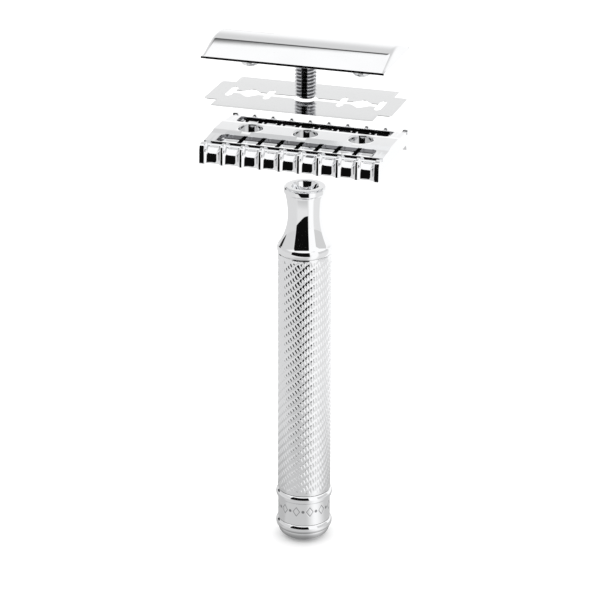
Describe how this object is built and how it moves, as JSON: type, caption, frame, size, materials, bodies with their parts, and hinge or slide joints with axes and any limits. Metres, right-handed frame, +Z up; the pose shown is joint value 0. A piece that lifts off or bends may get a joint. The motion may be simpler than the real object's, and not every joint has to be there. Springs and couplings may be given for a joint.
{
  "type": "open comb safety razor",
  "caption": "Three-piece safety razor with an open comb head, a double-edge blade and a knurled chromed handle, drawn apart along its axis.",
  "frame": {"origin": "centre of the flat foot under the handle, on the handle's axis", "axes": "+Z up the handle to the cap, +X along the blade, +Y across the blade"},
  "size_m": [0.043, 0.0256, 0.1203],
  "materials": {
    "chrome_smooth": "polished chrome plate",
    "chrome_knurled": "chrome plate over a diamond knurl",
    "stud_chrome": "bright cut thread",
    "blade_steel": "bright rolled strip with ground edges"
  },
  "bodies": {
    "handle": {"neck": "chrome_smooth", "grip_tube": "chrome_knurled", "collar_ring": "chrome_smooth", "end_cap": "chrome_smooth"},
    "screw_way": {"thread_insert": "stud_chrome"},
    "comb": {"comb_plate": "chrome_smooth"},
    "blade": {"razor_blade": "blade_steel"},
    "cap": {"cap_plate": "chrome_smooth", "threaded_stud": "stud_chrome", "locating_post_left": "chrome_smooth", "locating_post_right": "chrome_smooth"}
  },
  "joints": [
    {"name": "head_turn", "type": "hinge", "parent": "handle", "child": "screw_way", "pos_m": [0, 0, 0.0865], "axis": [0, 0, 1], "range_deg": [-4500, 0]},
    {"name": "head_lift", "type": "slide", "parent": "screw_way", "child": "comb", "axis": [0, 0, 1], "range_m": [-0.01, 0]},
    {"name": "blade_lift", "type": "slide", "parent": "comb", "child": "blade", "axis": [0, 0, 1], "range_m": [-0.00805, 0]},
    {"name": "cap_lift", "type": "slide", "parent": "blade", "child": "cap", "axis": [0, 0, 1], "range_m": [-0.0102, 0]}
  ],
  "couplings": [
    {"joint": "head_lift", "follows": "head_turn", "m_per_rad": 0.00012732}
  ]
}
